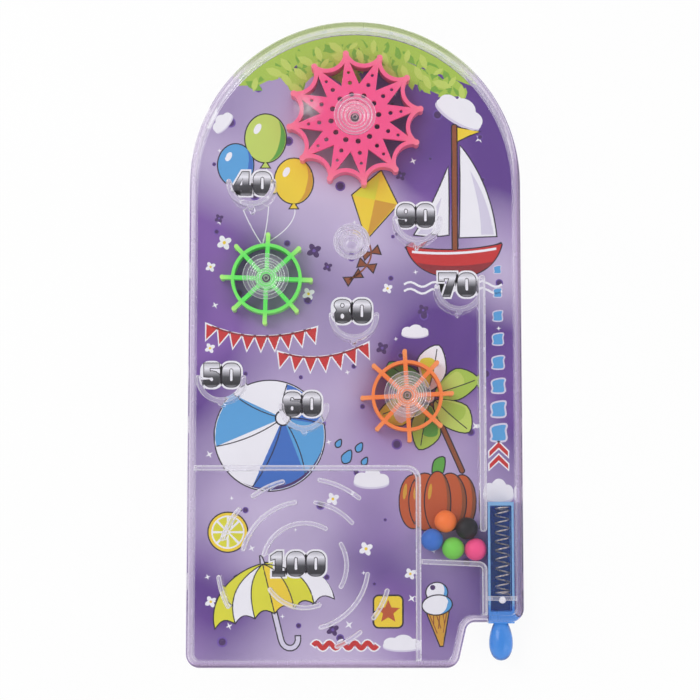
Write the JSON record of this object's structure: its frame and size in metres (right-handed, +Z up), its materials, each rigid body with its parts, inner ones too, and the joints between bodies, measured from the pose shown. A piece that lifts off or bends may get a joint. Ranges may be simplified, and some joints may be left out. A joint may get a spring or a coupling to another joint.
{
  "type": "tabletop pinball game",
  "caption": "Hand-held clear-cased pinball game with an arched top, a sprung plunger, spinning wheels, score cups, a ring maze and loose coloured balls over a printed card.",
  "frame": {"origin": "centre of the case's outline, on its underside", "axes": "+Z up out of the clear cover, +Y towards the arched end, the plunger at +X and -Y"},
  "size_m": [0.12, 0.234, 0.016],
  "materials": {
    "clear_plastic": "polished",
    "printed_card": "satin",
    "blue_plastic": "gloss",
    "spring_steel": "satin",
    "pink_plastic": "gloss",
    "green_plastic": "gloss",
    "orange_plastic": "gloss",
    "orange_ball": "gloss",
    "black_ball": "gloss",
    "blue_ball": "gloss",
    "green_ball": "gloss",
    "pink_ball": "gloss"
  },
  "bodies": {
    "game_case": {"ball_ledge": "clear_plastic", "base_tray": "clear_plastic", "bumper_boss": "clear_plastic", "clear_cover": "clear_plastic", "drain_rail": "clear_plastic", "green_spinner_boss": "clear_plastic", "lane_wall": "clear_plastic", "maze_inner_ring": "clear_plastic", "maze_middle_ring": "clear_plastic", "maze_outer_ring": "clear_plastic", "orange_spinner_boss": "clear_plastic", "pink_spinner_boss": "clear_plastic", "plunger_spring": "spring_steel", "printed_card": "printed_card", "score_cup_40": "clear_plastic", "score_cup_50": "clear_plastic", "score_cup_60": "clear_plastic", "score_cup_70": "clear_plastic", "score_cup_80": "clear_plastic", "score_cup_90": "clear_plastic", "spring_stop": "clear_plastic"},
    "plunger": {"plunger": "blue_plastic"},
    "pink_spinner": {"pink_spinner": "pink_plastic"},
    "green_spinner": {"green_spinner": "green_plastic"},
    "orange_spinner": {"orange_spinner": "orange_plastic"},
    "orange_ball": {"orange_ball": "orange_ball"},
    "black_ball": {"black_ball": "black_ball"},
    "blue_ball": {"blue_ball": "blue_ball"},
    "green_ball": {"green_ball": "green_ball"},
    "pink_ball": {"pink_ball": "pink_ball"}
  },
  "joints": [
    {"name": "pink_spin", "type": "hinge", "parent": "game_case", "child": "pink_spinner", "pos_m": [0, 0.08232, 0.0055], "axis": [0, 0, 1], "continuous": true},
    {"name": "green_spin", "type": "hinge", "parent": "game_case", "child": "green_spinner", "pos_m": [-0.03222, 0.02281, 0.0055], "axis": [0, 0, 1], "continuous": true},
    {"name": "orange_spin", "type": "hinge", "parent": "game_case", "child": "orange_spinner", "pos_m": [0.0189, -0.01989, 0.0055], "axis": [0, 0, 1], "continuous": true},
    {"name": "plunger_pull", "type": "slide", "parent": "game_case", "child": "plunger", "axis": [0, -1, 0], "range_m": [0, 0.0235], "stiffness_N_per_m": 120, "springref_m": -0.003, "deforming": ["plunger_spring"]},
    {"name": "orange_ball_roll", "type": "slide", "parent": "game_case", "child": "orange_ball", "axis": [0, 1, 0], "range_m": [0, 0.02]},
    {"name": "black_ball_roll", "type": "slide", "parent": "game_case", "child": "black_ball", "axis": [0, 1, 0], "range_m": [0, 0.02]},
    {"name": "blue_ball_roll", "type": "slide", "parent": "game_case", "child": "blue_ball", "axis": [0, 1, 0], "range_m": [0, 0.02]},
    {"name": "green_ball_roll", "type": "slide", "parent": "game_case", "child": "green_ball", "axis": [0, 1, 0], "range_m": [0, 0.02]},
    {"name": "pink_ball_roll", "type": "slide", "parent": "game_case", "child": "pink_ball", "axis": [0, 1, 0], "range_m": [0, 0.002]}
  ],
  "couplings": [
    {"joint": "black_ball_roll", "follows": "orange_ball_roll", "ratio": 1},
    {"joint": "blue_ball_roll", "follows": "orange_ball_roll", "ratio": 1},
    {"joint": "green_ball_roll", "follows": "orange_ball_roll", "ratio": 1},
    {"joint": "pink_ball_roll", "follows": "orange_ball_roll", "ratio": 0.1}
  ]
}
